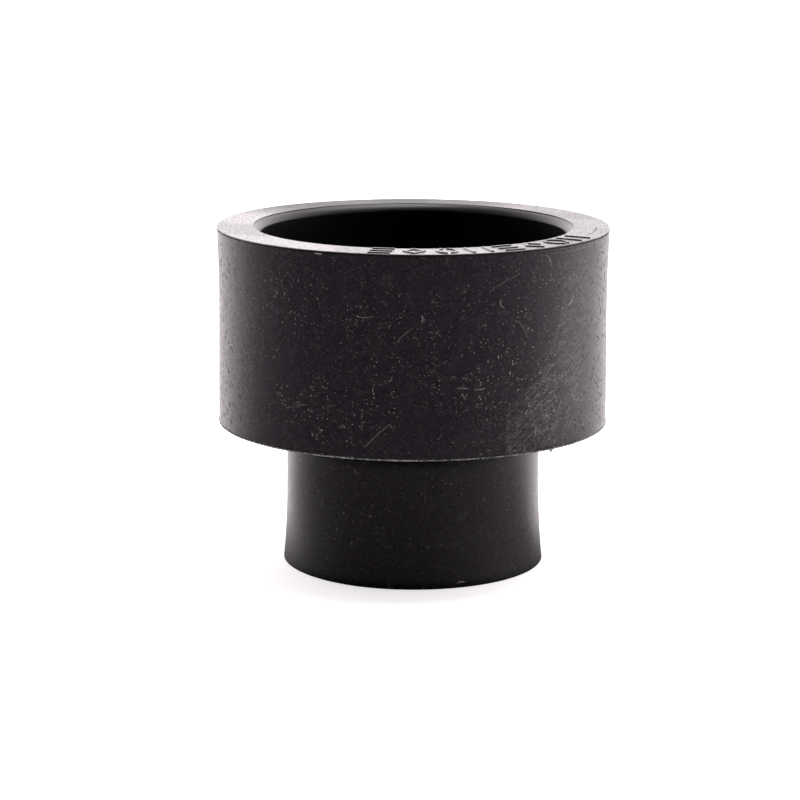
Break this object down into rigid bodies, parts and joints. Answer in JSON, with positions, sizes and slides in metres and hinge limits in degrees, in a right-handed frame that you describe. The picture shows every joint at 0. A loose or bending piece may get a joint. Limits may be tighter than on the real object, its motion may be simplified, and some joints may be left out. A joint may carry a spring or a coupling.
{
  "type": "concentric pipe reducer",
  "caption": "Concentric reducing coupling for hot-melt socket welding: a wide barrel steps down to a narrow, slightly flared one, with a pipe socket in each end.",
  "frame": {"origin": "centre of the small end's flat face, which the fitting stands on", "axes": "+Z along the common axis of both sockets, towards the large socket; -Y faces the side that carries the first of the raised marks"},
  "size_m": [0.0506, 0.0506, 0.0441],
  "materials": {
    "polyethylene": "satin black moulded polyethylene, with fine grain, dust specks and pale scuffs",
    "scuffed_flash": "rough, whitened edge of black polyethylene"
  },
  "bodies": {
    "root": {"large_socket": "polyethylene", "stop_web": "polyethylene", "throat_ring": "polyethylene", "small_socket": "polyethylene", "size_marks": "polyethylene", "parting_flash": "scuffed_flash"}
  },
  "joints": []
}
